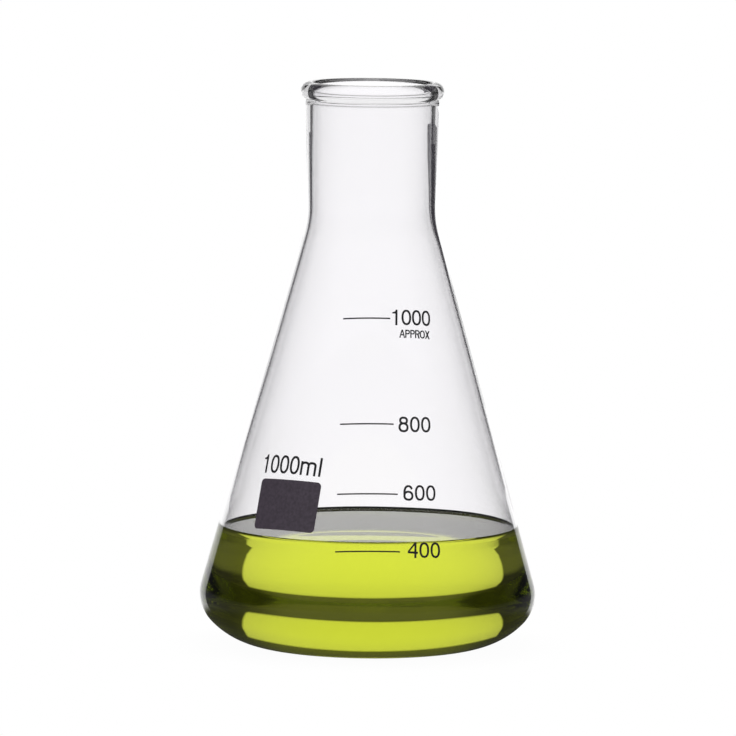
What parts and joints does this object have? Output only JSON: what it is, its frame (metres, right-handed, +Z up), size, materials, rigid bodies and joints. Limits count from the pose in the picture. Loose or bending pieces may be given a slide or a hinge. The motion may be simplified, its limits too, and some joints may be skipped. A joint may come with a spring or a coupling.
{
  "type": "erlenmeyer flask",
  "caption": "Conical glass laboratory flask with a beaded wide neck, printed graduations and a write-on patch, part-filled with yellow-green liquid.",
  "frame": {"origin": "centre of the base, on the table plane", "axes": "+Z up along the flask's axis, towards the mouth; -Y is the side with the graduations; +X is to the right seen from that side"},
  "size_m": [0.131, 0.131, 0.22],
  "materials": {
    "clear_glass": "polished",
    "green_liquid": "polished",
    "enamel_plum": "satin",
    "enamel_dark": "satin"
  },
  "bodies": {
    "root": {"flask_body": "clear_glass", "liquid": "green_liquid", "write_on_patch": "enamel_plum", "capacity_text": "enamel_dark", "approx_text": "enamel_dark", "graduation_line_400": "enamel_dark", "graduation_line_600": "enamel_dark", "graduation_line_800": "enamel_dark", "graduation_line_1000": "enamel_dark", "numeral_400": "enamel_dark", "numeral_600": "enamel_dark", "numeral_800": "enamel_dark", "numeral_1000": "enamel_dark"}
  },
  "joints": []
}
